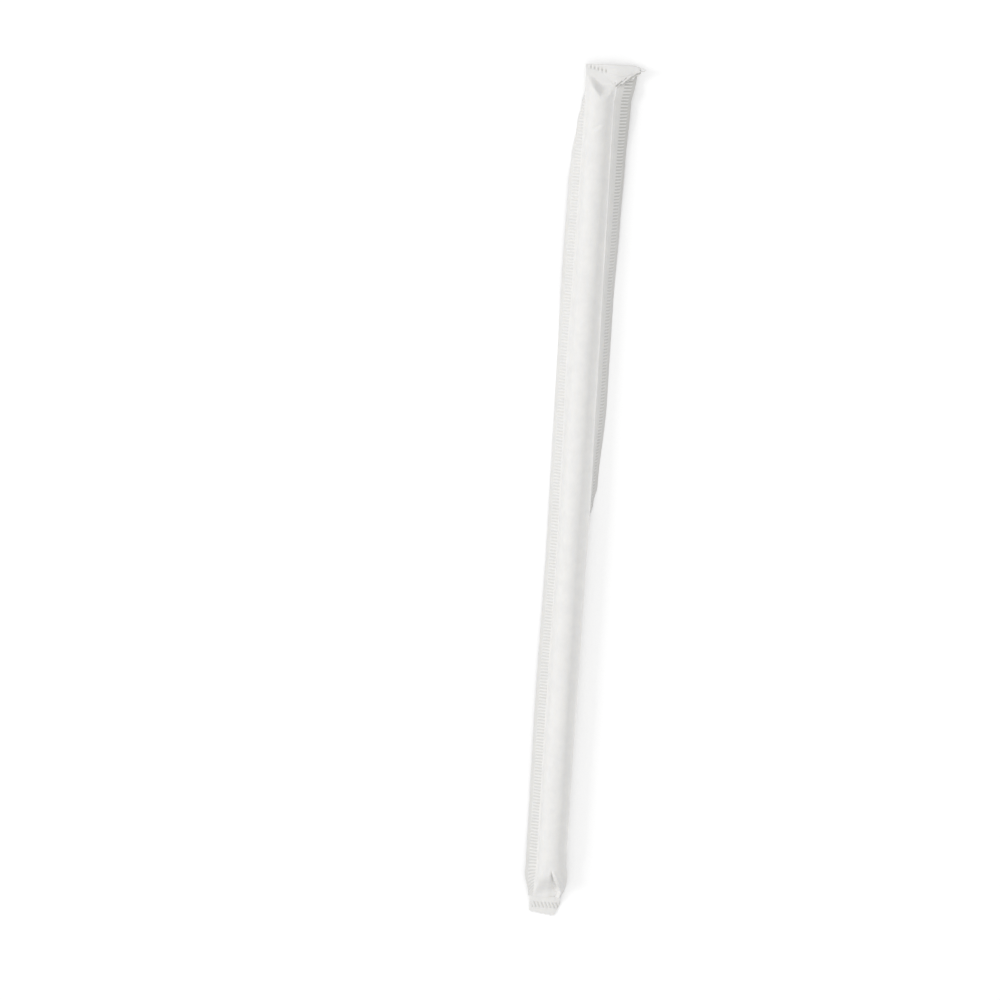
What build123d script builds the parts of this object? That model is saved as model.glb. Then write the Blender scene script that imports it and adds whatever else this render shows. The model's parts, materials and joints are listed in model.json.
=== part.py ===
from build123d import *
import os
from math import acos, atan2, cos, degrees, pi, radians, sin, sqrt

# A drinking straw sealed in a paper sleeve, lying on a table.
# Y runs along the straw from its tail to its head, X is to the right and Z is up.
# The sleeve is two paper webs, welded to each other along both long edges and across both ends.
# The sleeve and the straw that it hides make one closed solid, as the pack can't be seen into.

# The straw inside
straw_diameter = 6.2
straw_length = 197.0

# The paper round the straw. A ply is drawn thicker than real paper, so that it stays a solid wall.
web_thickness = 0.1
seam_thickness = 0.2
rest_flat_width = 1.8

# The creases where the two webs meet beside the straw, from the straw's axis
right_crease_reach = 3.95
right_crease_bearing = 20.0
left_crease_reach = 3.75
left_crease_bearing = 195.0

# The welded edge outside each crease: loose webs, a knurled band and a plain margin
right_slack_width = 2.3
left_slack_width = 0.2
band_width = 1.9
margin_width = 1.05
seam_root_depth = 0.9

# The knurl that welds the long edges. The right edge lies against the straw, so its ribs show on one face.
rib_pitch = 0.83
rib_height = 0.12
rib_foot = 0.05
rib_sink = 0.03
ribs_per_comb = 6
mitre_limit_share = 0.5
edge_section_step = 5.0

# The empty paper past the straw's head, flattened
head_paper_length = 8.7
head_left_width = 3.9
head_right_width = 4.3
head_right_bulge = 0.2
head_level = 3.1
head_end_thickness = 0.5
head_fold_height = 0.35
head_fall_share = 0.42

# The head's end seal, folded forward over the flattened paper
flap_fold_left = -3.7
flap_fold_right = 10.4
flap_right_depth = 1.8
flap_tooth_left = 3.8
flap_tooth_depth = 5.5
flap_notch_reach = 2.0
flap_notch_depth = 3.1
flap_left_depth = 1.5
flap_thickness = 0.22
flap_lift_angle = 6.0
flap_fold_radius = 0.26
flap_rib_left = -2.6
flap_rib_count = 5
flap_rib_length = 1.2

# The empty paper past the straw's tail, flattened, pleated and drawn narrow
tail_paper_length = 8.5
tail_left_width = 4.05
tail_right_width = 2.8
tail_right_bulge = 1.35
tail_level = 0.95
tail_end_thickness = 0.8
tail_fold_height = 0.5
tail_fall_share = 0.95

# The tail's end seal, past the pleats
tail_seal_length = 4.35
tail_seal_left = 5.0
tail_seal_right = 3.0
tail_cut_left = 4.6
tail_cut_right = 1.3
tail_seal_thickness = 0.3
tail_seal_end_level = 0.25
tail_rib_length = 2.0

# The knurl and the toothed cut across both ends
end_rib_pitch = 0.95
end_rib_height = 0.1
tooth_pitch = 1.25
tooth_depth = 0.6

# How far a piece reaches into the one that it is part of
overlap = 0.4

body_radius = straw_diameter / 2 + web_thickness
axis_height = sqrt(body_radius ** 2 - (rest_flat_width / 2) ** 2)
head_y = straw_length / 2
tail_y = -straw_length / 2

# Stations along each long edge, from the tail's mouth to the head's mouth. Each holds its place as a share
# of the sleeve, the crease's turn about the straw, the way that the edge points and the way that its
# margin points, all in degrees from +X towards +Z, and the share of its width that isn't folded under.
right_edge_station_shares = (
    (0.000, -62.0, -20.0, -150.0, 0.10),
    (0.030, -20.0, -86.0, -172.0, 0.55),
    (0.070, 0.0, -94.0, -176.0, 1.0),
    (0.410, 0.0, -94.0, -176.0, 1.0),
    (0.435, 0.0, -91.0, -140.0, 0.85),
    (0.460, 0.0, -88.0, -95.0, 0.80),
    (0.480, 0.0, -82.0, -50.0, 0.86),
    (0.500, 0.0, -76.0, -16.0, 0.97),
    (0.600, 0.0, -60.0, -33.0, 1.0),
    (0.720, 0.0, -58.0, -36.0, 1.0),
    (0.815, 0.0, -50.0, -34.0, 1.0),
    (0.890, 0.0, -38.0, -30.0, 1.0),
    (0.950, 0.0, -20.0, -14.0, 1.0),
    (1.000, -19.0, -8.0, -4.0, 1.0),
)
left_edge_station_shares = (
    (0.000, 27.0, 188.0, 186.0, 0.75),
    (0.030, 12.0, 200.0, 196.0, 0.95),
    (0.090, 0.0, 208.0, 206.0, 1.0),
    (0.350, 0.0, 207.0, 205.0, 1.0),
    (0.520, 0.0, 217.0, 215.0, 1.0),
    (0.660, 0.0, 218.0, 204.0, 1.0),
    (0.768, 0.0, 206.0, 190.0, 1.0),
    (0.888, -5.0, 214.0, 222.0, 1.0),
    (0.936, -13.0, 234.0, 250.0, 0.98),
    (0.966, -16.0, 258.0, 264.0, 0.88),
    (1.000, -14.0, 276.0, 280.0, 0.45),
)

# The lines of the folds across each flattened end, from left to right. Each holds its place across the
# round body and across the flat mouth, as shares of their widths, and how far it stands above the
# flat paper half way out and at the mouth, as shares of the fold's height.
head_fold_shares = (
    (0.00, 0.00, 0.0, 0.0),
    (0.05, 0.03, 0.0, 0.0),
    (0.16, 0.05, 0.0, 0.0),
    (0.28, 0.08, 0.2, 0.0),
    (0.47, 0.11, 0.6, 0.0),
    (0.53, 0.50, -1.6, -0.2),
    (0.60, 0.93, 0.6, 0.0),
    (0.76, 0.95, 0.3, 0.0),
    (0.92, 0.97, 0.0, 0.0),
    (1.00, 1.00, 0.0, 0.0),
)
tail_fold_shares = (
    (0.00, 0.00, 0.0, 0.0),
    (0.05, 0.04, 0.0, 0.0),
    (0.15, 0.10, 0.0, 0.0),
    (0.28, 0.22, 0.2, 0.0),
    (0.40, 0.45, 0.3, 0.0),
    (0.46, 0.74, -1.5, -0.5),
    (0.51, 0.93, 1.5, 0.8),
    (0.62, 0.96, 1.1, 0.5),
    (0.85, 0.98, 0.2, 0.2),
    (1.00, 1.00, 0.0, 0.0),
)
head_station_shares = (0.0, 0.07, 0.16, 0.28, 0.42, 0.70, 1.0)
tail_station_shares = (0.0, 0.08, 0.25, 0.50, 0.75, 1.0)


def polar(centre, reach, angle):
    """The point of a cross-section at a reach and an angle from another one."""
    return (centre[0] + reach * cos(radians(angle)), centre[1] + reach * sin(radians(angle)))


def blend(start, end, share):
    """The value part of the way from one to the other."""
    return start + (end - start) * share


# The round body

axis_point = (0, axis_height)
right_crease = polar(axis_point, right_crease_reach, right_crease_bearing)
left_crease = polar(axis_point, left_crease_reach, left_crease_bearing)


def web_touch(reach, bearing, turn):
    """Where a web that comes from a crease first touches the straw."""
    return polar(axis_point, body_radius, bearing + turn * degrees(acos(body_radius / reach)))


right_upper_touch = web_touch(right_crease_reach, right_crease_bearing, 1)
right_lower_touch = web_touch(right_crease_reach, right_crease_bearing, -1)
left_upper_touch = web_touch(left_crease_reach, left_crease_bearing, -1)
left_lower_touch = web_touch(left_crease_reach, left_crease_bearing, 1)


def upper_web(x):
    """The height of the upper web over a place across the straw."""
    if x > right_upper_touch[0]:
        share = (x - right_upper_touch[0]) / (right_crease[0] - right_upper_touch[0])
        return blend(right_upper_touch[1], right_crease[1], share)
    if x < left_upper_touch[0]:
        share = (x - left_upper_touch[0]) / (left_crease[0] - left_upper_touch[0])
        return blend(left_upper_touch[1], left_crease[1], share)
    return axis_height + sqrt(body_radius ** 2 - x ** 2)


def lower_web(x):
    """The height of the lower web under a place across the straw, flat where it rests."""
    if x > right_lower_touch[0]:
        share = (x - right_lower_touch[0]) / (right_crease[0] - right_lower_touch[0])
        return blend(right_lower_touch[1], right_crease[1], share)
    if x < left_lower_touch[0]:
        share = (x - left_lower_touch[0]) / (left_crease[0] - left_lower_touch[0])
        return blend(left_lower_touch[1], left_crease[1], share)
    return max(0, axis_height - sqrt(body_radius ** 2 - x ** 2))


def round_body():
    """The sleeve drawn round the straw, with its two creases and the flat that it rests on."""
    profile = Pos(0, axis_height) * Circle(body_radius)
    profile += Polygon(axis_point, right_lower_touch, right_crease, right_upper_touch, align=None)
    profile += Polygon(axis_point, left_upper_touch, left_crease, left_lower_touch, align=None)
    profile -= Rectangle(2 * straw_diameter, straw_diameter, align=(Align.CENTER, Align.MAX))
    return extrude(Plane.XZ * profile, amount=straw_length / 2, both=True)


# The welded long edges


def edge_state(stations, place_share):
    """The turn, headings and width share of a welded edge at a place, eased from station to station."""
    for before, after in zip(stations, stations[1:]):
        if before[0] <= place_share <= after[0]:
            share = (place_share - before[0]) / (after[0] - before[0])
            eased = (1 - cos(pi * share)) / 2
            return [blend(low, high, eased) for low, high in zip(before[1:], after[1:])]
    return stations[-1][1:]


def edge_lines(stations, reach, bearing, slack_width):
    """The lines of a welded edge, section by section: root, crease, band's start and end, margin's edge."""
    first_y = tail_y - tail_paper_length
    last_y = head_y + head_paper_length
    count = max(len(stations), round((last_y - first_y) / edge_section_step))
    rows = []
    for index in range(count + 1):
        turn, heading, margin_heading, width_share = edge_state(stations, index / count)
        crease = polar(axis_point, reach, bearing + turn)
        root = polar(axis_point, reach - seam_root_depth, bearing + turn)
        band_start = polar(crease, slack_width * width_share, heading)
        band_end = polar(band_start, band_width * width_share, heading)
        edge = polar(band_end, margin_width * width_share, margin_heading)
        rows.append((blend(first_y, last_y, index / count), root, crease, band_start, band_end, edge))
    return rows


def edge_section(row, side):
    """One cross-section of a welded edge, half its thickness to each side of its lines."""
    y, root, crease, band_start, band_end, edge = row
    line = (root, crease, band_end, edge)
    upper = []
    lower = []
    for index, point in enumerate(line):
        before = line[max(index - 1, 0)]
        after = line[min(index + 1, len(line) - 1)]
        run_in = Vector(point[0] - before[0], point[1] - before[1])
        run_out = Vector(after[0] - point[0], after[1] - point[1])
        run_in = run_in.normalized() if run_in.length > 0 else run_out.normalized()
        run_out = run_out.normalized() if run_out.length > 0 else run_in
        along = (run_in + run_out).normalized()
        half = seam_thickness / 2 / max(along.dot(run_in), mitre_limit_share)
        upper.append(Vector(point[0] - side * along.Y * half, y, point[1] + side * along.X * half))
        lower.append(Vector(point[0] + side * along.Y * half, y, point[1] - side * along.X * half))
    return Wire.make_polygon(upper + lower[::-1], close=True)


def edge_place(rows, y, column):
    """A point on one line of a welded edge, between its stations."""
    for before, after in zip(rows, rows[1:]):
        if before[0] <= y <= after[0]:
            share = (y - before[0]) / (after[0] - before[0])
            x = blend(before[column][0], after[column][0], share)
            return Vector(x, y, blend(before[column][1], after[column][1], share))
    return Vector(rows[-1][column][0], rows[-1][0], rows[-1][column][1])


def rib_comb(plane, count, pitch, height, wall, width, both_faces):
    """Ribs side by side along a plane's X, standing out of a thin wall's upper face or of both its faces."""
    surface = wall / 2
    half_length = count * pitch / 2
    upper = [(-half_length, surface - rib_sink)]
    lower = [(-half_length, rib_sink - surface)]
    for index in range(2 * count - 1):
        place = (index + 1 - count) * pitch / 2
        rise = 0 if index % 2 else height
        upper.append((place, surface + rib_foot + rise))
        if both_faces:
            lower.append((place, rise - surface - rib_foot - height))
    upper.append((half_length, surface - rib_sink))
    lower.append((half_length, rib_sink - surface))
    comb = Polygon(*upper, *lower[::-1], align=None)
    return extrude(plane * comb, amount=width / 2, both=True)


def edge_ribs(rows, first_y, last_y, both_faces):
    """The knurl of a welded edge, in short straight combs that follow its twist."""
    comb_length = ribs_per_comb * rib_pitch
    combs = []
    for index in range(int((last_y - first_y) / comb_length)):
        start_y = first_y + index * comb_length
        end_y = start_y + comb_length
        middle_y = (start_y + end_y) / 2
        start = (edge_place(rows, start_y, 3) + edge_place(rows, start_y, 4)) / 2
        end = (edge_place(rows, end_y, 3) + edge_place(rows, end_y, 4)) / 2
        across = edge_place(rows, middle_y, 4) - edge_place(rows, middle_y, 3)
        plane = Plane(origin=(start + end) / 2, x_dir=(end - start).normalized(), z_dir=across)
        combs.append(rib_comb(plane, ribs_per_comb, rib_pitch, rib_height, seam_thickness, across.length,
                              both_faces))
    return combs


def welded_edge(side, stations, reach, bearing, slack_width, first_rib_y, both_faces):
    """One long edge of the sleeve with its knurl."""
    rows = edge_lines(stations, reach, bearing, slack_width)
    wall = Solid.make_loft([edge_section(row, side) for row in rows], ruled=True)
    return [wall] + edge_ribs(rows, first_rib_y, head_y + head_paper_length - band_width, both_faces)


# The flattened ends


def end_shell(outward, length, left_width, right_width, right_bulge, level, thickness, fold_height,
              fall_share, station_shares, folds):
    """Empty paper past the straw, from the round body to its flat folded mouth."""
    rings = []
    for place_share in station_shares:
        fallen_share = min(place_share / fall_share, 1)
        flat_share = sin(pi / 2 * fallen_share)
        bulge = right_bulge * sin(pi * place_share)
        left = blend(left_crease[0], -left_width, place_share)
        right = blend(right_crease[0], right_width, place_share) + bulge
        y = outward * (straw_length / 2 + place_share * length)
        upper = []
        lower = []
        for body_share, mouth_share, middle_lift, mouth_lift in folds:
            home_x = blend(left_crease[0], right_crease[0], body_share)
            x = blend(left, right, blend(body_share, mouth_share, fallen_share))
            lift = sin(pi * fallen_share) * middle_lift + fallen_share * mouth_lift
            top = blend(upper_web(home_x), level + thickness / 2, flat_share) + lift * fold_height
            base = blend(lower_web(home_x), max(0, level - thickness / 2), fallen_share)
            if body_share in (0, 1):
                base = top - seam_thickness
            upper.append(Vector(x, y, top))
            lower.append(Vector(x, y, base))
        rings.append(Wire.make_polygon(upper + lower[::-1], close=True))
    return Solid.make_loft(rings, ruled=True)


def toothed(start, end, pitch, depth):
    """The points of a zigzag cut between two corners, with its teeth to the left of the way it runs."""
    run = Vector(end[0] - start[0], end[1] - start[1])
    count = max(1, round(run.length / pitch))
    half_tooth = run / count / 2
    side = Vector(-run.Y, run.X).normalized() * depth
    points = []
    for index in range(count):
        root = Vector(*start) + half_tooth * (2 * index)
        tip = root + half_tooth + side
        points.append((root.X, root.Y))
        points.append((tip.X, tip.Y))
    points.append(end)
    return points


def head_flap():
    """The head's end seal, folded forward over the flattened paper, with its toothed cut in front."""
    fold_y = head_y + head_paper_length - flap_fold_radius
    fold_z = head_level + head_end_thickness / 2
    fold_plane = Plane(origin=(0, fold_y, fold_z), x_dir=(1, 0, 0), z_dir=(0, 0, 1))
    cut_start = (flap_tooth_left, -flap_tooth_depth)
    cut_end = (flap_fold_right, -flap_right_depth)
    outline = [(flap_fold_left, 0), (flap_fold_left, -flap_left_depth)]
    outline.append((flap_notch_reach, -flap_notch_depth))
    outline += toothed(cut_start, cut_end, tooth_pitch, -tooth_depth)
    outline.append((flap_fold_right, 0))
    flap_plane = fold_plane.rotated((-flap_lift_angle, 0, 0))
    flap = extrude(flap_plane * Polygon(*outline, align=None), amount=flap_thickness)
    fold_length = flap_fold_right - flap_fold_left
    fold_middle = (flap_fold_left + flap_fold_right) / 2
    fold = Pos(fold_middle, fold_y, fold_z) * Cylinder(flap_fold_radius, fold_length, rotation=(0, 90, 0))
    rib_middle = flap_rib_left + flap_rib_count * end_rib_pitch / 2
    rib_plane = Plane(origin=(rib_middle, fold_y, fold_z), x_dir=(1, 0, 0), z_dir=(0, -1, 0))
    ribs = rib_comb(rib_plane, flap_rib_count, end_rib_pitch, end_rib_height, 2 * flap_fold_radius,
                    flap_rib_length, True)
    return [flap, fold, ribs]


def tail_seal():
    """The tail's end seal, a flat knurled strip with a toothed cut, drooping to the table."""
    drop_angle = degrees(atan2(tail_level - tail_seal_end_level, tail_seal_length))
    level_plane = Plane(origin=(0, tail_y - tail_paper_length + overlap, tail_level), z_dir=(0, 0, 1))
    plane = level_plane.rotated((drop_angle, 0, 0))
    reach = tail_seal_length + overlap - tooth_depth
    cut_start = (-tail_cut_left, -reach)
    cut_end = (tail_cut_right, -reach)
    outline = [(-tail_seal_left, 0)] + toothed(cut_start, cut_end, tooth_pitch, -tooth_depth)
    outline.append((tail_seal_right, -tail_rib_length))
    outline.append((tail_seal_right, 0))
    strip = extrude(plane * Polygon(*outline, align=None), amount=tail_seal_thickness / 2, both=True)
    count = int((tail_seal_left + tail_seal_right) / end_rib_pitch)
    middle_x = (tail_seal_right - tail_seal_left) / 2
    rib_origin = plane.from_local_coords(Vector(middle_x, -overlap - tail_rib_length / 2, 0))
    rib_plane = Plane(origin=rib_origin, x_dir=(1, 0, 0), z_dir=-plane.y_dir)
    ribs = rib_comb(rib_plane, count, end_rib_pitch, end_rib_height, tail_seal_thickness,
                    tail_rib_length, True)
    return [strip, ribs]


def wrapped_straw():
    """The whole pack as one closed solid."""
    pieces = []
    pieces += welded_edge(1, right_edge_station_shares, right_crease_reach, right_crease_bearing,
                          right_slack_width, tail_y, False)
    pieces += welded_edge(-1, left_edge_station_shares, left_crease_reach, left_crease_bearing,
                          left_slack_width, tail_y - tail_paper_length + band_width, True)
    pieces.append(end_shell(1, head_paper_length, head_left_width, head_right_width, head_right_bulge,
                            head_level, head_end_thickness, head_fold_height, head_fall_share,
                            head_station_shares, head_fold_shares))
    pieces.append(end_shell(-1, tail_paper_length, tail_left_width, tail_right_width, tail_right_bulge,
                            tail_level, tail_end_thickness, tail_fold_height, tail_fall_share,
                            tail_station_shares, tail_fold_shares))
    pieces += head_flap()
    pieces += tail_seal()
    pack = round_body().fuse(*pieces)
    box = pack.bounding_box()
    centre = box.center()
    return Pos(-centre.X, -centre.Y, -box.min.Z) * pack


os.makedirs("parts", exist_ok=True)
export_step(wrapped_straw(), "parts/wrapped_straw.step")
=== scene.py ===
import json
from math import acos, atan2, cos, degrees, pi, radians, sin, sqrt

import bpy
import numpy as np
from mathutils import Matrix, Vector, noise


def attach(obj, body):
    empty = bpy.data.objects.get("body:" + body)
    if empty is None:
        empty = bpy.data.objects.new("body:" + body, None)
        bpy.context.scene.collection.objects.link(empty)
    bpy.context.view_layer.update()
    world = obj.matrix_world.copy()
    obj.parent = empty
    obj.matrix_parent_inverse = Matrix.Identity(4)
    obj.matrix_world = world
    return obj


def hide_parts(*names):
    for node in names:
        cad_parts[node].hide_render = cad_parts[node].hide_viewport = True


# A drinking straw sealed in a white paper sleeve, lying on a table and seen from above.
# X is to the right, Y runs along the straw from its tail to its head and Z is up. The paper's sizes are in
# millimetres from the straw's middle, and a mesh is turned into metres when it is made.

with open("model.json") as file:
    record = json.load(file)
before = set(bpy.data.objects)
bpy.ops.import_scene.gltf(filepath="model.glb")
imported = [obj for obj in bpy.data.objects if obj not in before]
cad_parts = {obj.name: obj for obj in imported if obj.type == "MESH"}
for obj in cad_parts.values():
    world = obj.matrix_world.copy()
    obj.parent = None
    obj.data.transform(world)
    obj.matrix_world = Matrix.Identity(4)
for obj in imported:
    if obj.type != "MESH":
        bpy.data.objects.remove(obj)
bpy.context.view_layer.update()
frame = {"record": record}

# The sleeve round the straw
# Two webs of thin white paper, drawn round the straw and creased where they meet beside it.
# Both long edges are welded by a knurled wheel, which leaves a band of ribs inside a plain margin.

straw_length = 197.0
body_radius = 3.2
rest_flat_width = 1.8
weld_thickness = 0.16
band_width = 1.9
margin_width = 1.05
side_sag = 0.16
sharp_fold_angle = 38.0

axis_height = sqrt(body_radius ** 2 - (rest_flat_width / 2) ** 2)
head_y = straw_length / 2
tail_y = -straw_length / 2
metres_per_millimetre = 0.001
rest_place = Vector(frame["record"]["mounts"][0]["pos_m"])

# The lines of the folds across each flattened end, from left to right: the place across the round body,
# half way out and at the mouth, as shares of the width, the lift half way out and at the mouth, as shares
# of the folds' height, and how far past the straw the paper starts to fall
head_folds = np.array((
    (0.00, 0.00, 0.00, 0.0, 0.0, 3.1),
    (0.10, 0.09, 0.08, 0.0, 0.0, 3.1),
    (0.22, 0.20, 0.18, 0.2, 0.1, 2.8),
    (0.32, 0.29, 0.27, 0.4, 0.2, 2.2),
    (0.44, 0.40, 0.38, 0.2, 0.0, 1.3),
    (0.53, 0.52, 0.50, -0.2, 0.0, 0.6),
    (0.60, 0.61, 0.60, -0.3, 0.0, 0.7),
    (0.74, 0.76, 0.76, -0.3, 0.0, 1.1),
    (0.84, 0.86, 0.87, 0.4, 0.1, 1.4),
    (0.92, 0.93, 0.94, 0.3, 0.1, 1.6),
    (1.00, 1.00, 1.00, 0.0, 0.0, 1.8),
))
tail_folds = np.array((
    (0.00, 0.00, 0.00, 0.0, 0.0, 1.6),
    (0.06, 0.06, 0.06, 0.0, 0.0, 1.6),
    (0.18, 0.17, 0.16, -0.3, 0.0, 1.5),
    (0.34, 0.34, 0.34, -0.4, 0.2, 1.1),
    (0.44, 0.46, 0.50, 0.4, 0.5, 0.6),
    (0.47, 0.51, 0.58, 0.3, 0.4, 0.4),
    (0.50, 0.56, 0.84, -1.8, -0.8, 0.4),
    (0.53, 0.67, 0.95, 1.5, 1.0, 0.4),
    (0.58, 0.75, 0.97, 1.5, 0.8, 0.5),
    (0.66, 0.82, 0.99, 0.5, 0.3, 0.8),
    (0.86, 0.94, 0.99, 0.0, 0.0, 1.2),
    (1.00, 1.00, 1.00, 0.0, 0.0, 1.4),
))

# The empty paper past each end of the straw: its length, the run in which it falls flat, the half widths
# and level of its mouth, its right side's bulge, its thickness at the mouth, its folds' height and lines
head_end = {"length": 8.7, "fall": 3.3, "left": 4.0, "right": 4.3, "level": 3.1,
            "bulge": 0.2, "mouth": 0.4, "fold": 0.3, "lines": head_folds}
tail_end = {"length": 8.5, "fall": 6.9, "left": 4.05, "right": 2.8, "level": 0.95,
            "bulge": 0.9, "mouth": 0.36, "fold": 0.55, "lines": tail_folds}
first_y = tail_y - tail_end["length"]
last_y = head_y + head_end["length"]

# Stations along each welded edge, from the tail's mouth to the head's mouth: the place as a share of the
# sleeve, the crease's reach and bearing from the straw, the loose paper before the band, the heading of the
# band and of the margin in degrees from +X towards +Z, and the share of the width that isn't folded under
right_edge_stations = np.array((
    (0.000, 3.95, 0.0, 2.3, -60.0, -150.0, 0.08),
    (0.030, 3.95, 6.0, 2.3, -112.0, -172.0, 0.42),
    (0.070, 4.00, 20.0, 2.3, -96.0, -176.0, 1.00),
    (0.410, 4.20, 20.0, 2.3, -94.0, -176.0, 1.00),
    (0.435, 4.25, 20.0, 2.3, -91.0, -140.0, 0.85),
    (0.460, 4.28, 20.0, 2.3, -88.0, -95.0, 0.80),
    (0.480, 4.28, 20.0, 2.3, -82.0, -50.0, 0.86),
    (0.500, 4.25, 20.0, 2.3, -76.0, -16.0, 0.97),
    (0.600, 4.10, 20.0, 2.3, -60.0, -33.0, 1.00),
    (0.720, 3.95, 20.0, 2.3, -58.0, -36.0, 1.00),
    (0.815, 3.85, 20.0, 2.3, -50.0, -34.0, 1.00),
    (0.890, 3.75, 20.0, 2.3, -43.0, -33.0, 1.00),
    (0.950, 3.75, 20.0, 2.25, -34.0, -26.0, 1.00),
    (1.000, 3.80, 20.0, 2.1, -13.0, -9.0, 0.97),
))
left_edge_stations = np.array((
    (0.000, 3.75, 198.0, 0.2, 190.0, 186.0, 0.40),
    (0.030, 3.75, 198.0, 0.2, 199.0, 196.0, 0.92),
    (0.090, 3.75, 195.0, 0.2, 208.0, 206.0, 1.00),
    (0.240, 3.80, 195.0, 0.2, 204.0, 202.0, 1.00),
    (0.430, 3.60, 195.0, 0.2, 212.0, 210.0, 1.00),
    (0.520, 3.80, 195.0, 0.2, 214.0, 212.0, 1.00),
    (0.650, 4.20, 195.0, 0.2, 222.0, 206.0, 1.00),
    (0.770, 3.90, 195.0, 0.2, 208.0, 188.0, 1.00),
    (0.860, 3.75, 192.0, 0.2, 210.0, 210.0, 1.00),
    (0.888, 3.70, 190.0, 0.2, 219.0, 228.0, 1.00),
    (0.928, 3.65, 184.0, 0.2, 238.0, 250.0, 0.98),
    (0.955, 3.65, 180.0, 0.2, 256.0, 264.0, 0.88),
    (0.972, 3.60, 180.0, 0.2, 276.0, 288.0, 0.66),
    (1.000, 3.60, 180.0, 0.2, 288.0, 300.0, 0.40),
))

# The ribs that the wheel leaves across each band. They aren't quite even, fade out along the band's sides
# and at its ends, and lean over on the left near the tail.
rib_pitch = 0.83
rib_height = 0.085
rib_wobble = 0.09
rib_wobble_size = 3.0
rib_fade_share = 0.16
tail_rib_lean = 1.6
tail_rib_lean_y = (-104.5, -98.0)
rows_per_rib = 6

rib_count = round((last_y - first_y) / rib_pitch)
row_count = rib_count * rows_per_rib + 1
row_y = np.linspace(first_y, last_y, row_count)
rib_fade = np.clip(np.minimum(row_y - first_y, last_y - row_y) / band_width, 0, 1)

# How many strips of faces each stretch of a web is divided into, from its cut edges to the straw
margin_strips = 3
band_strips = 6
right_slack_strips = 14
left_slack_strips = 1
side_strips = 8
arc_strips = 36


def blend(start, end, share):
    """The value part of the way from one to the other."""
    return start + (end - start) * share


def eased(share):
    """A share from nought to one that grows slowly at both ends."""
    return (1 - np.cos(pi * share)) / 2


def value_at(place, places, values):
    """A value that is given at a few places, read off at another."""
    return float(np.interp(place, places, values))


def eased_station(stations, place_share):
    """A table's values at a place along the sleeve, eased from one station to the next."""
    after = int(np.clip(np.searchsorted(stations[:, 0], place_share), 1, len(stations) - 1))
    low, high = stations[after - 1], stations[after]
    share = np.clip((place_share - low[0]) / (high[0] - low[0]), 0, 1)
    return blend(low[1:], high[1:], eased(share))


def polar(reach, bearing):
    """A point of a cross-section, by its reach from the straw's axis and its bearing in degrees from +X."""
    angle = radians(bearing)
    return np.array((reach * cos(angle), axis_height + reach * sin(angle)))


def edge_strip_line(crease, station, slack_strips, side, knurl):
    """Both surfaces of a welded edge at one row, from its crease to the edge of its margin."""
    slack_width, heading, margin_heading, width_share = station[2:]
    margin_turn = np.arange(1, margin_strips + 1) / margin_strips
    angles = np.radians(np.concatenate((
        np.full(slack_strips + band_strips, heading),
        blend(heading, margin_heading, margin_turn),
    )))
    widths = np.concatenate((
        np.full(slack_strips, slack_width / slack_strips),
        np.full(band_strips, band_width / band_strips),
        np.full(margin_strips, margin_width / margin_strips),
    )) * width_share
    steps = np.stack((np.cos(angles), np.sin(angles)), axis=1) * widths[:, None]
    line = crease + np.concatenate((np.zeros((1, 2)), np.cumsum(steps, axis=0)))
    turns = np.concatenate((angles[:1], (angles[1:] + angles[:-1]) / 2, angles[-1:]))
    normals = np.stack((-side * np.sin(turns), side * np.cos(turns)), axis=1)
    band_place = np.arange(band_strips + 1) / band_strips
    band_fade = np.clip(np.minimum(band_place, 1 - band_place) / rib_fade_share, 0, 1)
    rib_lift = np.zeros(len(line))
    rib_lift[slack_strips:slack_strips + band_strips + 1] = band_fade * knurl * rib_height
    upper = line + normals * (rib_lift + weld_thickness / 2)[:, None]
    lower = line + normals * (rib_lift - weld_thickness / 2)[:, None]
    upper[:, 1] = np.maximum(upper[:, 1], weld_thickness)
    lower[:, 1] = np.maximum(lower[:, 1], 0)
    return upper, lower


def body_line(left_crease, right_crease, left_touch, right_touch, turn):
    """One web round the straw at one row, between the two creases: a side, an arc and a side."""
    angles = np.radians(np.linspace(left_touch, right_touch, arc_strips + 1))
    arc = np.stack((np.cos(angles), np.sin(angles)), axis=1) * body_radius + (0, axis_height)
    shares = (np.arange(1, side_strips) / side_strips)[:, None]
    sag = np.sin(pi * shares) * side_sag * (0, turn)
    left_side = blend(left_crease, arc[0], shares) - sag
    right_side = blend(arc[-1], right_crease, shares) - sag
    line = np.concatenate((left_crease[None], left_side, arc, right_side, right_crease[None]))
    if turn < 0:
        line[:, 1] = np.maximum(line[:, 1], 0)
    return line


def fallen(past_straw, end, home_share):
    """How far the paper has fallen flat past the straw at places across the body, from nought to one."""
    home, start = end["lines"][:, 0], end["lines"][:, -1]
    return np.clip((past_straw - np.interp(home_share, home, start)) / end["fall"], 0, 1)


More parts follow.
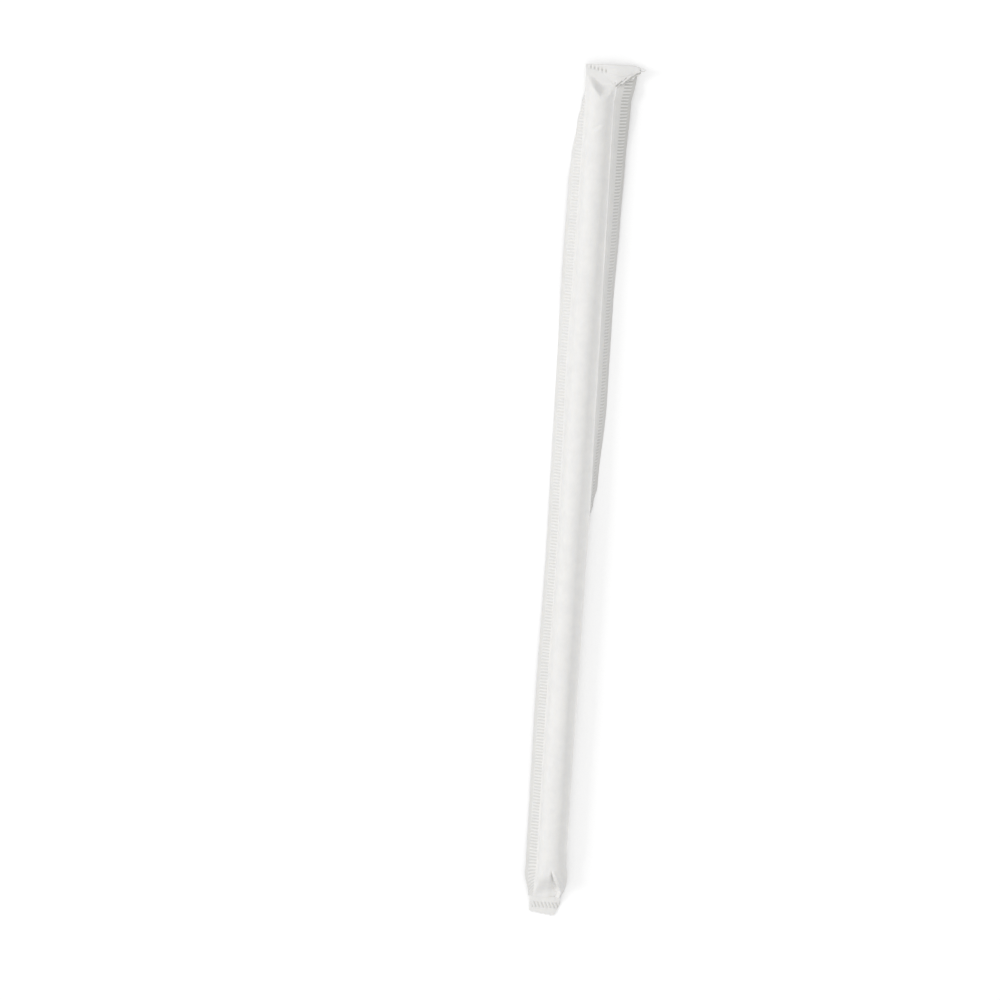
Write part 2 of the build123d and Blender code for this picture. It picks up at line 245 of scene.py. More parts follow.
def flattened(line, left_x, right_x, end, past_straw, upper):
    """A web's line moved towards the flat mouth of an end, with the end's folds standing out of it."""
    home, half, mouth, half_lift, mouth_lift = end["lines"].T[:-1]
    home_share = (line[:, 0] - line[0, 0]) / (line[-1, 0] - line[0, 0])
    fall = fallen(past_straw, end, home_share)
    half_mouth = end["mouth"] / 2

    # A point keeps to a smooth curve through its places on the body, half way out and at the mouth.
    place_share = home_share * (1 - fall) * (1 - 2 * fall)
    place_share += np.interp(home_share, home, half) * 4 * fall * (1 - fall)
    place_share += np.interp(home_share, home, mouth) * fall * (2 * fall - 1)
    x = blend(left_x, right_x, place_share)
    if not upper:
        z = blend(line[:, 1], max(0, end["level"] - half_mouth), eased(fall))
    else:
        lift = np.sin(pi * fall) * np.interp(home_share, home, half_lift)
        lift += fall * np.interp(home_share, home, mouth_lift)
        z = blend(line[:, 1], end["level"] + half_mouth, eased(fall)) + lift * end["fold"]
    return np.stack((x, z), axis=1)


def sleeve_row(y, left_knurl, right_knurl):
    """The upper and the lower web at one row, each as points (x, z) from left margin to right."""
    place_share = (y - first_y) / (last_y - first_y)
    left_station = eased_station(left_edge_stations, place_share)
    right_station = eased_station(right_edge_stations, place_share)
    left_reach, left_bearing = left_station[:2]
    right_reach, right_bearing = right_station[:2]
    left_crease = polar(left_reach, left_bearing)
    right_crease = polar(right_reach, right_bearing)
    left_open = degrees(acos(body_radius / left_reach))
    right_open = degrees(acos(body_radius / right_reach))
    upper = body_line(left_crease, right_crease, left_bearing - left_open, right_bearing + right_open, 1)
    lower = body_line(left_crease, right_crease, left_bearing + left_open,
                      right_bearing + 360 - right_open, -1)
    if abs(y) > head_y:
        end = head_end if y > 0 else tail_end
        past_straw = abs(y) - head_y
        out_share = min(past_straw / end["length"], 1)
        left_x = blend(left_crease[0], -end["left"], out_share)
        right_x = blend(right_crease[0], end["right"], out_share) + end["bulge"] * sin(pi * out_share)
        upper = flattened(upper, left_x, right_x, end, past_straw, True)
        lower = flattened(lower, left_x, right_x, end, past_straw, False)
        left_fall, right_fall = eased(fallen(past_straw, end, np.array((0, 1))))
        left_crease = np.array((left_x, blend(left_crease[1], end["level"], left_fall)))
        right_crease = np.array((right_x, blend(right_crease[1], end["level"], right_fall)))
    left_upper, left_lower = edge_strip_line(
        left_crease, left_station, left_slack_strips, -1, left_knurl)
    right_upper, right_lower = edge_strip_line(
        right_crease, right_station, right_slack_strips, 1, right_knurl)
    upper = np.concatenate((left_upper[::-1], upper[1:-1], right_upper))
    lower = np.concatenate((left_lower[::-1], lower[1:-1], right_lower))
    return upper, lower


def rib_waves(row, side):
    """How far the ribs stand out along one row of a band, from its crease's side outwards, from -1 to 1."""
    waves = []
    lean = value_at(row_y[row], tail_rib_lean_y, (tail_rib_lean, 0)) if side < 0 else 0
    for strip in range(band_strips + 1):
        outwards = strip / band_strips
        place = Vector((side * outwards, row_y[row] / rib_wobble_size, side))
        wobble = rib_wobble * noise.noise(place)
        waves.append(cos(2 * pi * (row / rows_per_rib + lean * outwards + wobble)))
    return np.array(waves)


left_waves = np.array([rib_waves(row, -1) for row in range(row_count)])
right_waves = np.array([rib_waves(row, 1) for row in range(row_count)])
left_knurl = left_waves * rib_fade[:, None]
right_knurl = right_waves * rib_fade[:, None]
sections = np.array([sleeve_row(*row) for row in zip(row_y, left_knurl, right_knurl)])

# The upper and the lower web, each as a grid of points, row by row from the tail and column by column from
# the left margin
column_count = sections.shape[2]
webs = np.zeros((2, row_count, column_count, 3))
webs[..., 0] = sections[..., 0].swapaxes(0, 1)
webs[..., 1] = row_y[:, None]
webs[..., 2] = sections[..., 1].swapaxes(0, 1)
left_fin = margin_strips + band_strips + left_slack_strips
right_fin = margin_strips + band_strips + right_slack_strips

# The two webs pinch up a little where they meet along the right crease, and again beside it.
right_crease_column = column_count - 1 - right_fin
crease_ridge = 0.13
crease_ridge_bearing = 60.0
crease_wave_length = 13.0
crease_noise_place = 7.7
second_crease_gap = 5
second_crease_share = 0.7
ridge_x = cos(radians(crease_ridge_bearing))
ridge_z = sin(radians(crease_ridge_bearing))
for row, y in enumerate(row_y):
    for gap, share in ((0, 1), (second_crease_gap, second_crease_share)):
        place = Vector((gap, y / crease_wave_length, crease_noise_place))
        pinch = crease_ridge * share * (1 + noise.noise(place))
        webs[0, row, right_crease_column + gap] += (pinch * ridge_x, 0, pinch * ridge_z)

# The paper isn't drawn tight: it stands off the straw in long shallow waves, and has small dents.
wave_height = 0.10
wave_length = 26.0
wave_width = 3.4
wave_base = 0.25
ripple_height = 0.022
ripple_size = 1.7
dents = (
    {"x": -0.25, "y": 92.0, "half_length": 1.1, "half_width": 0.28, "bearing": 32.0, "depth": 0.24},
    {"x": 0.25, "y": 91.2, "half_length": 1.1, "half_width": 0.34, "bearing": 32.0, "depth": -0.12},
    {"x": -0.6, "y": 86.0, "half_length": 3.0, "half_width": 0.5, "bearing": 80.0, "depth": 0.05},
    {"x": -0.6, "y": 100.2, "half_length": 1.0, "half_width": 0.30, "bearing": 135.0, "depth": 0.08},
    {"x": 1.3, "y": 99.6, "half_length": 1.1, "half_width": 0.30, "bearing": 20.0, "depth": 0.09},
    {"x": 1.8, "y": 100.7, "half_length": 0.5, "half_width": 0.4, "bearing": 20.0, "depth": 0.14},
    {"x": 2.7, "y": 100.1, "half_length": 0.5, "half_width": 0.4, "bearing": 20.0, "depth": -0.20},
    {"x": -1.2, "y": -99.8, "half_length": 2.2, "half_width": 0.8, "bearing": 57.0, "depth": 0.16},
)

# The lower web's waves fade out near the table, and both webs' fade this near the straw's axis, which the
# flattened ends cross.
table_fade_height = 0.6
axis_fade_reach = 1.0


def paper_lift(point):
    """How far the paper stands off the straw at a place: long waves and fine ripples."""
    long_wave = noise.noise(Vector((point[0] / wave_width, point[1] / wave_length, point[2] / wave_width)))
    ripple = noise.noise(Vector(point) / ripple_size)
    return wave_height * max(0, long_wave + wave_base) + ripple_height * ripple


def dent_drop(point):
    """How far the dents lower the upper web at a place."""
    drop = 0
    for dent in dents:
        along_x, along_y = cos(radians(dent["bearing"])), sin(radians(dent["bearing"]))
        off_x, off_y = point[0] - dent["x"], point[1] - dent["y"]
        along = (off_x * along_x + off_y * along_y) / dent["half_length"]
        across = (off_y * along_x - off_x * along_y) / dent["half_width"]
        drop += dent["depth"] * np.exp(-along ** 2 - across ** 2)
    return drop


for row in range(row_count):
    for column in range(left_fin + 1, right_crease_column):
        for web in (0, 1):
            point = webs[web, row, column]
            out = np.array((point[0], 0, point[2] - axis_height))
            out /= max(np.linalg.norm(out), axis_fade_reach)
            table_fade = min(1, point[2] / table_fade_height) if web else 1
            webs[web, row, column] = point + out * paper_lift(point) * table_fade
            if web == 0:
                webs[web, row, column, 2] -= dent_drop(point)

# The mesh is fine along the knurled bands and coarse along the rest, where a band's rows meet longer faces.
# Near the ends, where the upper web is folded and dented, the rest of it is finer too.
fine_tail_y = -92.0
fine_head_y = 82.0
rows_per_detail = 2
left_band = set(range(margin_strips, margin_strips + band_strips + 1))
right_band = set(column_count - 1 - column for column in left_band)
fine_columns = left_band | right_band

# How grey the margins and the loose paper beside the bands are painted, and how much of it each edge gets
# at places along the straw. The margins' grey is partly the welded paper's own look and partly painted
# shade; the loose paper's grey and the change along the straw are painted shade: the left edge darker
# towards the tail and the right edge darker towards the head.
margin_weld_and_shade = 0.7
slack_painted_shade = 0.3
painted_shade_y = (-90.0, 40.0, 60.0, 90.0)
left_painted_shade = (0.50, 0.25, 0.25, 0.25)
right_painted_shade = (0.70, 0.60, 0.60, 1.00)

weld_and_shade_amounts = np.zeros((row_count, column_count))
weld_and_shade_amounts[:, :margin_strips] = margin_weld_and_shade
weld_and_shade_amounts[:, -margin_strips:] = margin_weld_and_shade
# The ribs' troughs are painted grey and their crests left white: partly the pressed paper's own look,
# partly painted shade that brings out the ribs.
weld_and_shade_amounts[:, margin_strips:margin_strips + band_strips + 1] = (1 - left_waves[:, ::-1]) / 2
weld_and_shade_amounts[:, -margin_strips - band_strips - 1:-margin_strips] = (1 - right_waves) / 2
# Painted shade on the right loose paper, growing towards the band
slack_shade_ramp = slack_painted_shade * np.arange(right_slack_strips) / right_slack_strips
weld_and_shade_amounts[:, -right_fin - 1:-margin_strips - band_strips - 1] = slack_shade_ramp
# Painted shade along the straw on each edge
weld_and_shade_amounts[:, :left_fin] *= np.interp(row_y, painted_shade_y, left_painted_shade)[:, None]
weld_and_shade_amounts[:, -right_fin:] *= np.interp(row_y, painted_shade_y, right_painted_shade)[:, None]


class PaperMesh:
    """Gathers vertices and faces for one closed piece of paper."""

    def __init__(self):
        self.points = []
        self.pressed_and_shade = []
        self.faces = []
        self.found = {}

    def vertex(self, key, point, pressed_and_shade):
        """The index of a vertex, made once for each key. Its grey share is 1 where the knurl welds the
        webs, partly the welded paper's own look and partly painted shade.
        """
        if key not in self.found:
            self.found[key] = len(self.points)
            self.points.append(point)
            self.pressed_and_shade.append(pressed_and_shade)
        return self.found[key]

    def face(self, corners):
        """A face through corners, without any that repeats."""
        kept = [corner for index, corner in enumerate(corners) if corner != corners[index - 1]]
        if len(kept) > 2:
            self.faces.append(kept)

    def make(self, name, material):
        """The finished object, smooth apart from its sharp folds, on the body and in place of the solid."""
        mesh = bpy.data.meshes.new(name)
        placed = [Vector(point) * metres_per_millimetre + rest_place for point in self.points]
        mesh.from_pydata(placed, [], self.faces)
        mesh.attributes.new("pressed_and_shade", "FLOAT", "POINT").data.foreach_set("value", self.pressed_and_shade)
        mesh.update()
        mesh.polygons.foreach_set("use_smooth", [True] * len(mesh.polygons))
        mesh.set_sharp_from_angle(angle=radians(sharp_fold_angle))
        piece = bpy.data.objects.new(name, mesh)
        bpy.context.scene.collection.objects.link(piece)
        mesh.materials.append(material)
        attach(piece, "root")
        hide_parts("wrapped_straw")


def sleeve_mesh():
    """The two webs as one closed skin: both surfaces, the two long cut edges and the two mouths."""
    paper = PaperMesh()

    def corner(web, row, column):
        return paper.vertex((web, row, column), webs[web, row, column], weld_and_shade_amounts[row, column])

    def side_rows(column, low, high, plain_step):
        return list(range(low, high + 1, 1 if column in fine_columns else plain_step))

    def step_of(web, start):
        detailed = web == 0 and not fine_tail_y < row_y[start] < fine_head_y
        return rows_per_detail if detailed else rows_per_rib

    for web in (0, 1):
        for start in range(0, row_count - 1, rows_per_rib):
            plain_step = step_of(web, start)
            for column in range(column_count - 1):
                both_fine = column in fine_columns and column + 1 in fine_columns
                step = 1 if both_fine else plain_step
                for low in range(start, start + rows_per_rib, step):
                    right_side = side_rows(column + 1, low, low + step, plain_step)
                    left_side = side_rows(column, low, low + step, plain_step)
                    loop = [corner(web, row, column + 1) for row in right_side]
                    loop += [corner(web, row, column) for row in left_side[::-1]]
                    paper.face(loop[::-1] if web else loop)
    for start in range(0, row_count - 1, rows_per_rib):
        end = start + rows_per_rib
        for column in (0, column_count - 1):
            loop = [corner(0, row, column) for row in side_rows(column, start, end, step_of(0, start))]
            loop += [corner(1, end, column), corner(1, start, column)]
            paper.face(loop if column == 0 else loop[::-1])
    for row in (0, row_count - 1):
        for column in range(column_count - 1):
            loop = [corner(0, row, column), corner(0, row, column + 1),
                    corner(1, row, column + 1), corner(1, row, column)]
            paper.face(loop[::-1] if row else loop)
    return paper


# The paper's finish: thin bleached tissue, matt, slightly cloudy where its fibres lie thicker, with fine
# fibres along the web. It is greyer where the knurl presses both webs into one, partly for the welded
# paper's own look and partly as painted shade on the fins, the loose paper and the ribs' troughs. Its sizes
# are in metres.

paper_white = (0.880, 0.872, 0.855, 1.0)
paper_cloud = (0.845, 0.840, 0.828, 1.0)
paper_fibre = (0.905, 0.902, 0.892, 1.0)
# The grey of the welds, also used for the painted shade on the fins, the loose paper and the ribs' troughs
weld_and_shade_grey = (0.560, 0.558, 0.535, 1.0)
cloud_edges = (0.36, 0.64)
fibre_scales = (9000.0, 1400.0, 9000.0)
subsurface_radius = (1.0, 0.95, 0.85)


def node(tree, kind, **values):
    """A shader node with its sockets set by name."""
    made = tree.nodes.new(kind)
    for name, value in values.items():
        made.inputs[name.replace("_", " ")].default_value = value
    return made


def colour_mix(tree, colour):
    """A node that mixes a colour into the one that comes in."""
    made = tree.nodes.new("ShaderNodeMix")
    made.data_type = "RGBA"
    made.inputs["B"].default_value = colour
    return made


def sleeve_paper_material():
    """White sleeve paper: a cloudy formation, fine fibres, greyer welds that carry painted shade too, and a
    soft even sheen.
    """
    material = bpy.data.materials.new("sleeve_paper")
    material.use_nodes = True
    tree = material.node_tree
    shader = tree.nodes["Principled BSDF"]
    place = tree.nodes.new("ShaderNodeTexCoord")
    formation = node(tree, "ShaderNodeTexNoise", Scale=420.0, Detail=3.0, Roughness=0.6)
    cloud = tree.nodes.new("ShaderNodeValToRGB")
    for element, edge, colour in zip(cloud.color_ramp.elements, cloud_edges, (paper_cloud, paper_white)):
        element.position = edge
        element.color = colour
    stretch = node(tree, "ShaderNodeMapping", Scale=fibre_scales)
    fibre = node(tree, "ShaderNodeTexNoise", Scale=1.0, Detail=2.0, Roughness=0.7)
    fibre_mask = node(tree, "ShaderNodeMapRange", From_Min=0.5, From_Max=0.75, To_Min=0.0, To_Max=0.5)
    lit_fibre = colour_mix(tree, paper_fibre)
    # The grey share read from the mesh: the welds' own grey and painted shade
    weld_and_shade_node = tree.nodes.new("ShaderNodeAttribute")
    weld_and_shade_node.attribute_name = "pressed_and_shade"
    welded_and_shaded = colour_mix(tree, weld_and_shade_grey)
    bump = node(tree, "ShaderNodeBump", Strength=0.35, Distance=0.00003)
    tree.links.new(place.outputs["Object"], formation.inputs["Vector"])
    tree.links.new(place.outputs["Object"], stretch.inputs["Vector"])
    tree.links.new(stretch.outputs["Vector"], fibre.inputs["Vector"])
    tree.links.new(formation.outputs["Fac"], cloud.inputs["Fac"])
    tree.links.new(fibre.outputs["Fac"], fibre_mask.inputs["Value"])
    tree.links.new(fibre_mask.outputs["Result"], lit_fibre.inputs["Factor"])
    tree.links.new(cloud.outputs["Color"], lit_fibre.inputs["A"])
    tree.links.new(weld_and_shade_node.outputs["Fac"], welded_and_shaded.inputs["Factor"])
    tree.links.new(lit_fibre.outputs["Result"], welded_and_shaded.inputs["A"])
    tree.links.new(welded_and_shaded.outputs["Result"], shader.inputs["Base Color"])
    tree.links.new(fibre.outputs["Fac"], bump.inputs["Height"])
    tree.links.new(bump.outputs["Normal"], shader.inputs["Normal"])
    shader.inputs["Roughness"].default_value = 0.62
    shader.inputs["Specular IOR Level"].default_value = 0.25
    shader.inputs["Subsurface Weight"].default_value = 0.25
    shader.inputs["Subsurface Radius"].default_value = subsurface_radius
    shader.inputs["Subsurface Scale"].default_value = 0.00008
    return material


sleeve_paper = sleeve_paper_material()
sleeve_mesh().make("paper_sleeve", sleeve_paper)

# The head's end seal
# The flat end of both webs, welded by a knurled bar and cut by a toothed knife, then folded forward over
# the flattened paper. The fold is a soft roll, which stays open on the right.

flap_left = -3.75
flap_right = 9.9
flap_thickness = 0.10
flap_root = 0.5
flap_rows = 84

# The flap across its width: how far forward its cut lies and its roll ends, the roll's radius, and how far
# the fold itself lies back from the sleeve's end
flap_outline_x = (-3.9, -1.0, 0.5, 2.2, 3.7, 9.9)
flap_outline_depth = (0.9, 1.3, 2.1, 3.5, 5.0, 1.5)
roll_end_x = (-3.9, -2.0, 0.2, 4.7, 6.2, 8.0, 9.9)
roll_end_depth = (0.8, 1.0, 1.7, 2.8, 2.5, 1.9, 1.5)
roll_radius_x = (-3.9, 0.0, 3.5, 9.9)
roll_radii = (0.13, 0.22, 0.36, 0.42)
roll_fall = 0.45
fold_back_x = (-3.9, 7.4, 8.8, 9.9)
fold_back_depth = (0.0, 0.0, 0.25, 0.65)

# The flap rests on the flattened paper, stands off the loose edge on its right and is a little wavy there.
flap_clearance = 0.05
flap_stand_off = 0.50
flap_stand_x = (0.5, 4.0)
flap_wave = 0.14
flap_wave_size = 2.2
flap_wave_run = 1.5
flap_noise_place = 3.3

# The toothed cut, with a narrow knurled strip along it
cut_tooth_start = 3.7
cut_tooth_pitch = 1.25
cut_tooth_depth = 0.60
columns_per_tooth = 12
tooth_curl = 0.30
tooth_noise_place = 5.5
cut_strip_width = 1.05
cut_strip_full_share = 0.75
cut_strip_fade = 0.4
cut_rib_pitch = 1.25
cut_rib_slant = 1.1
cut_rib_height = 0.12

# The ribs of the end's knurl that show on the fold, in a row that drifts forward to the right
fold_rib_start = -2.66
fold_rib_count = 5
fold_rib_pitch = 0.965
fold_rib_depth = 0.55
fold_rib_drift = 0.20
fold_rib_half_length = 0.50
fold_rib_height = 0.12
# How grey the fold's ribs are painted: partly pressed paper, partly painted shade
fold_press_and_shade = 0.9

# The flap grows out of the middle of the mouth, which is evened out over this far to each side.
mouth_row = webs[:, -1, left_fin:].mean(axis=0)
mouth_soften = 1.0

# The shortest normal that a sheet's thickness is measured along
least_normal = 1e-9


def smooth_step(start, end, value):
    """Nought before the start, one after the end, and eased between them."""
    share = np.clip((value - start) / (end - start), 0, 1)
    return float(share * share * (3 - 2 * share))


def height_over(line, x):
    """The height of a line across the paper over one or more places."""
    ordered = line[np.argsort(line[:, 0])]
    return np.interp(x, ordered[:, 0], ordered[:, 2])


def head_top(x, y):
    """The height of the sleeve's upper web at a place near the head."""
    row = round((y - first_y) / (last_y - first_y) * (row_count - 1))
    return float(height_over(webs[0, min(row, row_count - 1), left_fin:], x))


def teeth(place, pitch, depth):
    """A zigzag cut: how far the edge stands out at each place along it."""
    return depth * (1 - np.abs(2 * np.mod(place / pitch, 1) - 1))


def teeth_out(x):
    """How far the cut stands out at a place, from nought between two teeth to one at a tooth's tip."""
    return float(teeth(x - cut_tooth_start, cut_tooth_pitch, 1)) if x > cut_tooth_start else 0.0


def cut_knurl(x, out, to_cut):
    """The lift of the slanted ribs along the toothed cut, and their grey: partly pressed paper, partly
    painted shadow between the teeth.
    """
    strip = smooth_step(cut_tooth_start - cut_strip_fade, cut_tooth_start, x)
    strip *= 1 - smooth_step(cut_strip_width * cut_strip_full_share, cut_strip_width, to_cut)
    wave = cos(2 * pi * (x + cut_rib_slant * out) / cut_rib_pitch)
    return strip * cut_rib_height * wave, strip * (1 - wave) / 2


def fold_knurl(x, out):
    """The lift of the few ribs that show on the fold, and their grey: partly pressed paper, partly painted
    shade in their dents.
    """
    centre = fold_rib_depth + fold_rib_drift * (x - fold_rib_start)
    along = np.exp(-((out - centre) / fold_rib_half_length) ** 2)
    last = fold_rib_start + (fold_rib_count - 1) * fold_rib_pitch
    across = smooth_step(fold_rib_start - fold_rib_pitch, fold_rib_start, x)
    across *= 1 - smooth_step(last, last + fold_rib_pitch / 2, x)
    wave = -cos(2 * pi * (x - fold_rib_start) / fold_rib_pitch)
    share = float(along * across)
    return share * fold_rib_height * wave, share * fold_press_and_shade * ((1 - wave) / 2) ** 2


def sheet_mesh(middle, thickness, pressed_and_shade):
    """A closed sheet of even thickness round the grid of points in its middle."""
    along = np.gradient(middle, axis=0)
    across = np.gradient(middle, axis=1)
    normals = np.cross(across, along)
    normals /= np.maximum(np.linalg.norm(normals, axis=2, keepdims=True), least_normal)
    skins = (middle + normals * thickness / 2, middle - normals * thickness / 2)
    paper = PaperMesh()
    rows, columns = middle.shape[:2]

    def corner(skin, row, column):
        return paper.vertex((skin, row, column), skins[skin][row, column], pressed_and_shade[row, column])

    for row in range(rows - 1):
        for column in range(columns - 1):
            for skin in (0, 1):
                loop = [corner(skin, row, column), corner(skin, row, column + 1),
                        corner(skin, row + 1, column + 1), corner(skin, row + 1, column)]
                paper.face(loop[::-1] if skin else loop)
    rim = [(row, 0) for row in range(rows)] + [(rows - 1, column) for column in range(1, columns)]
    rim += [(row, columns - 1) for row in range(rows - 2, -1, -1)]
    rim += [(0, column) for column in range(columns - 2, 0, -1)]
    for here, after in zip(rim, rim[1:] + rim[:1]):
        paper.face([corner(0, *here), corner(0, *after), corner(1, *after), corner(1, *here)])
    return paper


def head_flap():
    """The folded seal as a closed sheet, from inside the mouth, round the fold and forward to its cut."""
    column_step = cut_tooth_pitch / columns_per_tooth
    columns = np.arange(flap_left, flap_right + column_step / 2, column_step)
    middle = np.zeros((flap_rows, len(columns), 3))
    pressed_and_shade = np.zeros((flap_rows, len(columns)))
    for index, x in enumerate(columns):
        tooth = teeth_out(x)
        fold_back = value_at(x, fold_back_x, fold_back_depth)
        outline = value_at(x, flap_outline_x, flap_outline_depth)
        length = outline + tooth * cut_tooth_depth - fold_back
        roll_end = value_at(x, roll_end_x, roll_end_depth) - fold_back
        radius = value_at(x, roll_radius_x, roll_radii)
        bend = pi * radius
        curl = tooth_curl * noise.noise(Vector((x / cut_tooth_pitch, tooth_noise_place, 0))) * tooth
        near_x = x + np.linspace(-mouth_soften, mouth_soften, columns_per_tooth)
        root_z = float(height_over(mouth_row, near_x).mean())
        stand = smooth_step(*flap_stand_x, x)
        for row in range(flap_rows):
            run = blend(-flap_root, bend + length, row / (flap_rows - 1))
            turn = np.clip(run / radius, 0, pi)
            out = max(run - bend, 0)
            y = last_y - fold_back + min(run, 0) + radius * sin(turn) - out
            z = root_z + radius * (1 - cos(turn))
            if turn == pi:
                rest = head_top(x, y) + flap_clearance + flap_thickness / 2
                raised = max(rest, root_z + flap_stand_off)
                rolled = 1 - smooth_step(roll_end - roll_fall, roll_end, out)
                wave = flap_wave * noise.noise(Vector((x, y, flap_noise_place)) / flap_wave_size)
                z = blend(blend(rest, raised, stand), max(z, rest), rolled)
                z += wave * min(1, out / flap_wave_run) * stand
                z += curl * (out / length) ** 2
            strip_lift, strip_pressed_and_shade = cut_knurl(x, out, length - out)
            fold_lift, fold_pressed_and_shade = fold_knurl(x, fold_back + out) if turn > pi / 2 else (0, 0)
            away = Vector((0, sin(turn), -cos(turn))) * (strip_lift + fold_lift)
            middle[row, index] = Vector((x, y, z)) + away
            pressed_and_shade[row, index] = max(strip_pressed_and_shade, fold_pressed_and_shade)
    return sheet_mesh(middle, flap_thickness, pressed_and_shade)


head_flap().make("head_flap", sleeve_paper)

# The curl at the fold's right end
# The last of the head's fold, a narrow open loop of the same thin paper that stands on its edge. It is one
# with the fold and was left curled when the seal was folded over.

curl_centre = (10.25, 106.55)
curl_reach = (0.80, 0.42)
curl_half_turn = 168.0
curl_level = 2.55
curl_height = 1.1
curl_edge_narrowing = 0.25
curl_thickness = 0.10
curl_steps = 28
curl_rows = 7


def head_curl():
    """The loop as a closed sheet, a little narrower at its lower and upper edge than between them."""
    middle = np.zeros((curl_rows, curl_steps, 3))
    for row in range(curl_rows):
        share = row / (curl_rows - 1)
        reach = 1 - curl_edge_narrowing * abs(share - 0.5)
        for step in range(curl_steps):
            angle = radians(blend(-curl_half_turn, curl_half_turn, step / (curl_steps - 1)))
            middle[row, step] = (curl_centre[0] + curl_reach[0] * reach * cos(angle),
                                 curl_centre[1] + curl_reach[1] * reach * sin(angle),
                                 curl_level + curl_height * share)
    return sheet_mesh(middle, curl_thickness, np.zeros((curl_rows, curl_steps)))


head_curl().make("head_curl", sleeve_paper)

# The tail's end seal
# The same weld and toothed cut at the other end, of both webs pressed into one by the knurled bar. It isn't
# folded over: it is pleated with the flattened paper and droops to the table.

seal_left = -4.8
seal_right = 3.0
seal_outline_x = (-4.8, -2.0, 1.6, 2.4, 3.0)
seal_outline_length = (3.9, 4.4, 4.9, 3.3, 1.9)
seal_thickness = 0.14
seal_end_level = 0.25
seal_root = 0.15
seal_band = (1.3, 3.2)
seal_band_fade = 0.3
seal_rib_pitch = 0.95
seal_rib_height = 0.10
seal_rib_slant = 0.45
# How grey the seal's rib troughs are painted: partly pressed paper, partly painted shade
seal_press_and_shade = 0.45
seal_fold_start = -3.6
seal_noise_place = 8.8
seal_rows = 56

tail_mouth_row = webs[:, 0, :-right_fin].mean(axis=0)
tail_mouth_soften = 0.5


def tail_seal():
    """The tail's seal as a closed sheet, from inside the mouth down to its cut."""
    column_step = cut_tooth_pitch / columns_per_tooth
    columns = np.arange(seal_left, seal_right + column_step / 2, column_step)
    middle = np.zeros((seal_rows, len(columns), 3))
    pressed_and_shade = np.zeros((seal_rows, len(columns)))
    for index, x in enumerate(columns):
        plain_length = value_at(x, seal_outline_x, seal_outline_length)
        length = plain_length + float(teeth(x - seal_left, cut_tooth_pitch, cut_tooth_depth / 2))
        near_x = x + np.linspace(-tail_mouth_soften, tail_mouth_soften, columns_per_tooth)
        root_z = float(np.minimum(height_over(tail_mouth_row, near_x), tail_end["level"]).mean())
        for row in range(seal_rows):
            out = blend(-seal_root, length, row / (seal_rows - 1))
            share = min(max(out, 0) / plain_length, 1)
            strip = smooth_step(seal_band[0], seal_band[0] + seal_band_fade, out)
            strip *= 1 - smooth_step(seal_band[1] - seal_band_fade, seal_band[1], out)
            strip *= smooth_step(seal_left, seal_fold_start, x)
            wave = cos(2 * pi * (x - seal_rib_slant * out) / seal_rib_pitch)
            z = blend(root_z, seal_end_level, share) + strip * seal_rib_height * wave
            z += flap_wave * noise.noise(Vector((x, out, seal_noise_place)) / flap_wave_size) * share
            middle[row, index] = (x, first_y - out, max(z, seal_thickness / 2))
            pressed_and_shade[row, index] = strip * seal_press_and_shade * (1 - wave) / 2
    return sheet_mesh(middle[:, ::-1], seal_thickness, pressed_and_shade[:, ::-1])


tail_seal().make("tail_seal", sleeve_paper)

# The table and the light
# A plain white table that fades into its surroundings, with a soft lamp low on the left, which brings out
# the folds and ribs, and a larger one above. From here on sizes and places are in metres.

table_size = 3.0
table_drop = 0.00002
table_colour = (0.80, 0.80, 0.80, 1.0)
table_glow_strength = 0.30
white_light = (1.0, 1.0, 1.0, 1.0)

bpy.ops.mesh.primitive_plane_add(size=table_size, location=(0, 0, -table_drop))
table = bpy.context.object
table.name = "table"
table_finish = bpy.data.materials.new("table_white")
table_finish.use_nodes = True
table_tree = table_finish.node_tree
table_shader = table_tree.nodes["Principled BSDF"]
table_shader.inputs["Base Color"].default_value = table_colour
table_shader.inputs["Roughness"].default_value = 0.9
table_shader.inputs["Specular IOR Level"].default_value = 0.1
table_rays = table_tree.nodes.new("ShaderNodeLightPath")
table_glow = table_tree.nodes.new("ShaderNodeMath")
table_glow.operation = "MULTIPLY"
table_glow.inputs[1].default_value = table_glow_strength
table_tree.links.new(table_rays.outputs["Is Camera Ray"], table_glow.inputs[0])
table_tree.links.new(table_glow.outputs["Value"], table_shader.inputs["Emission Strength"])
table_shader.inputs["Emission Color"].default_value = white_light
table.data.materials.append(table_finish)

room_strength = 0.70
room = bpy.data.worlds.new("room")
bpy.context.scene.world = room
room.use_nodes = True
room.node_tree.nodes["Background"].inputs["Color"].default_value = white_light
room.node_tree.nodes["Background"].inputs["Strength"].default_value = room_strength

lamps = {
    "key_lamp": {"place": (-1.05, 0.25, 0.75), "size": 0.45, "power": 4.2},
    "front_lamp": {"place": (-0.1, -0.2, 1.6), "size": 0.9, "power": 3.0},
}


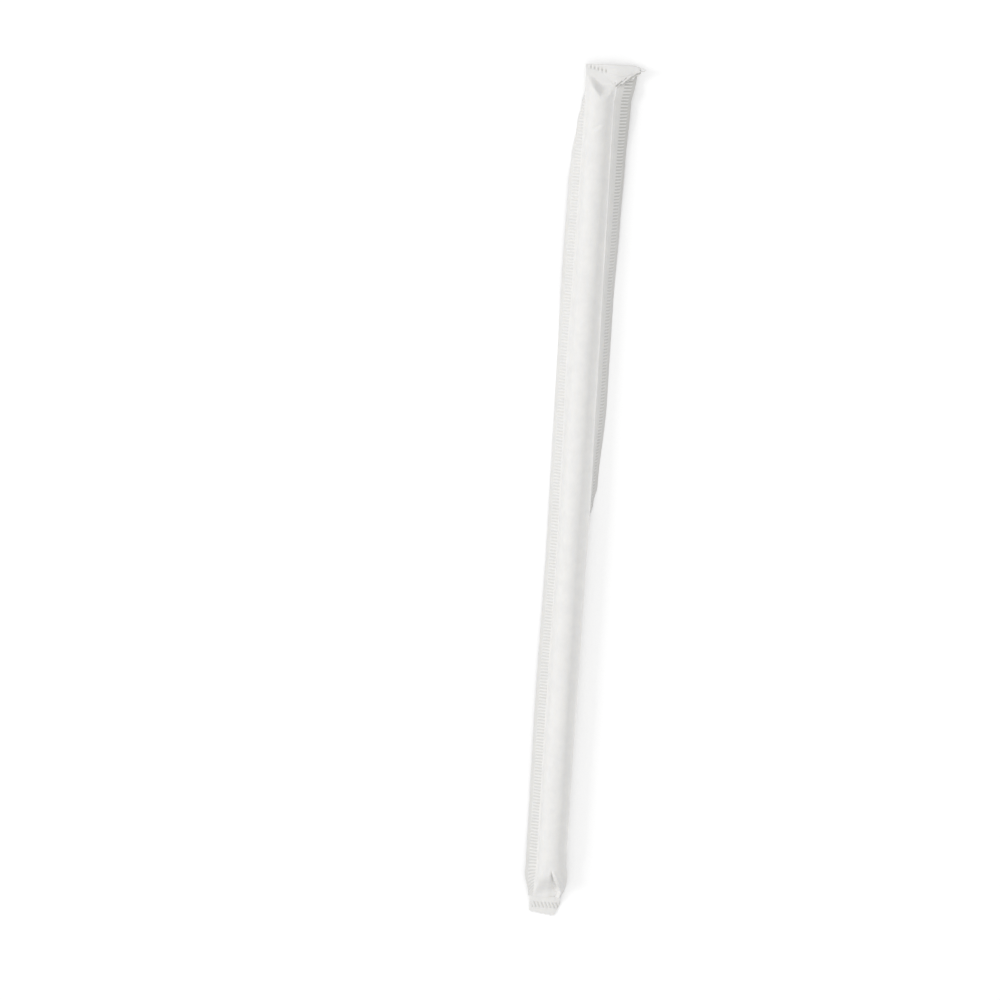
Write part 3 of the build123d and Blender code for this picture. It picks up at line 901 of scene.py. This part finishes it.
def soft_lamp(name, place, size, power):
    """A square soft lamp that faces the straw."""
    light = bpy.data.lights.new(name, "AREA")
    light.size = size
    light.energy = power
    lamp = bpy.data.objects.new(name, light)
    lamp.location = place
    lamp.rotation_mode = "QUATERNION"
    lamp.rotation_quaternion = (-Vector(place)).to_track_quat("-Z", "Y")
    bpy.context.scene.collection.objects.link(lamp)


for name, lamp in lamps.items():
    soft_lamp(name, **lamp)

# The camera
# It looks down on the straw from a little towards its head, so that the straw fills the same stretch of the
# picture, at the same slant, as in the photograph.

picture_size = 1000
head_pixel = (598.9, 100.0)
tail_pixel = (551.5, 866.0)
camera_lean = radians(9.0)
camera_distance = 1.5

bpy.context.view_layer.update()
pixels_right = head_pixel[0] - tail_pixel[0]
pixels_up = tail_pixel[1] - head_pixel[1]
pixel_run = sqrt(pixels_right ** 2 + pixels_up ** 2)
metres_per_pixel = straw_length * metres_per_millimetre * cos(camera_lean) / pixel_run
slant = atan2(pixels_right * cos(camera_lean), pixels_up)
look_right = Vector((cos(slant), sin(slant), 0))
look_back = Matrix.Rotation(-camera_lean, 3, look_right) @ Vector((0, 0, 1))
look_up = look_back.cross(look_right)

# The picture's middle lies beside the straw's, and perspective draws the straw's nearer head out.
straw_middle = rest_place + Vector((0, 0, axis_height * metres_per_millimetre))
middle_right = (head_pixel[0] + tail_pixel[0]) / 2 - picture_size / 2
middle_up = picture_size / 2 - (head_pixel[1] + tail_pixel[1]) / 2
half_run = straw_length * metres_per_millimetre / 2
nearer_head = half_run ** 2 * sin(camera_lean) * cos(camera_lean) / camera_distance
aim = straw_middle - look_right * middle_right * metres_per_pixel - look_up * middle_up * metres_per_pixel
aim += (look_right * sin(slant) + look_up * cos(slant)) * nearer_head

camera_data = bpy.data.cameras.new("camera")
camera_data.lens = camera_data.sensor_width * camera_distance / (picture_size * metres_per_pixel)
camera = bpy.data.objects.new("camera", camera_data)
camera_turn = Matrix((look_right, look_up, look_back)).transposed().to_4x4()
camera.matrix_world = Matrix.Translation(aim + look_back * camera_distance) @ camera_turn
bpy.context.scene.collection.objects.link(camera)
bpy.context.scene.camera = camera

bpy.context.scene.view_settings.view_transform = "Standard"

bpy.context.view_layer.update()
